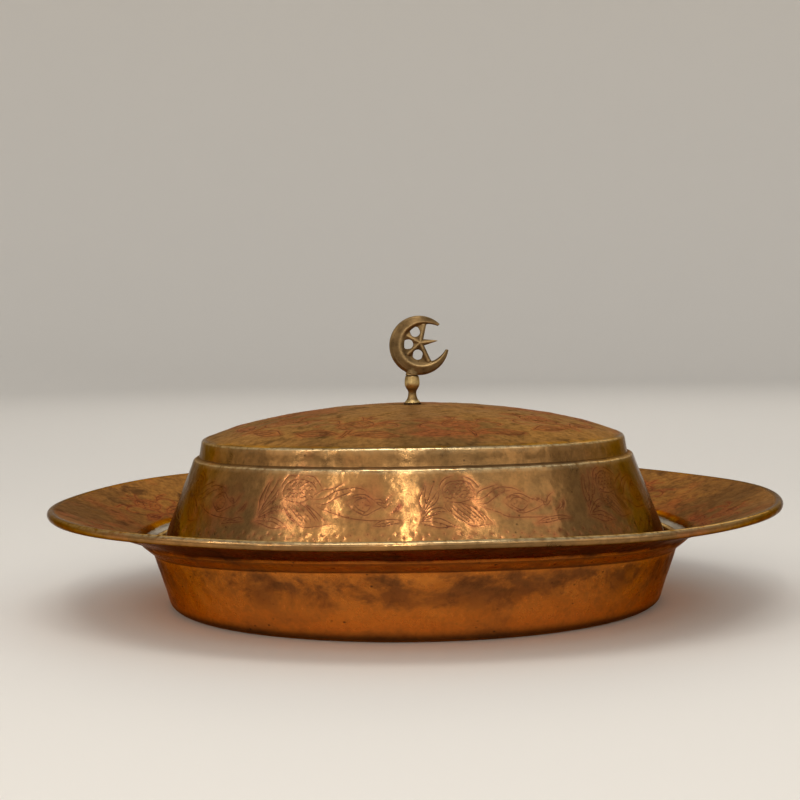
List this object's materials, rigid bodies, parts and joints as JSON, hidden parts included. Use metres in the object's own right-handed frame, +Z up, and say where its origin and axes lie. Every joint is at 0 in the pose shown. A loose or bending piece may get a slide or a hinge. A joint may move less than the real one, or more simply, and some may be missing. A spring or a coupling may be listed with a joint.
{
  "type": "lidded serving dish",
  "caption": "Round lidded copper serving dish: basin with a ledge for the lid and a broad wired rim, domed lid with step and flange, crescent-and-star knob.",
  "frame": {"origin": "middle of the base, on the surface that the dish stands on", "axes": "+Z up along the axis of the dish and lid; +X towards the open side of the crescent, so the crescent lies in the XZ plane; the picture looks along +Y"},
  "size_m": [0.4699, 0.47, 0.1841],
  "materials": {
    "copper_dish": "hammered and aged copper, tinned inside",
    "wire": "drawn copper wire, hidden in the rolled edge",
    "copper_lid": "hammered, engraved and browned copper, tinned inside",
    "cast_brass": "old cast brass, worn bright on the edges",
    "turned_brass": "turned brass, worn",
    "washer": "dark copper washer",
    "nut": "plain brass nut"
  },
  "bodies": {
    "dish": {"dish_basin": "copper_dish", "rim_wire": "wire"},
    "lid": {"lid_shell": "copper_lid", "lid_edge_wire": "wire", "finial_crescent": "cast_brass", "finial_stem": "turned_brass", "finial_seat_washer": "washer", "backing_washer": "washer", "finial_nut": "nut"}
  },
  "joints": [
    {"name": "lid_lift", "type": "slide", "parent": "dish", "child": "lid", "axis": [0, 0, 1], "range_m": [0, 0.15]}
  ]
}
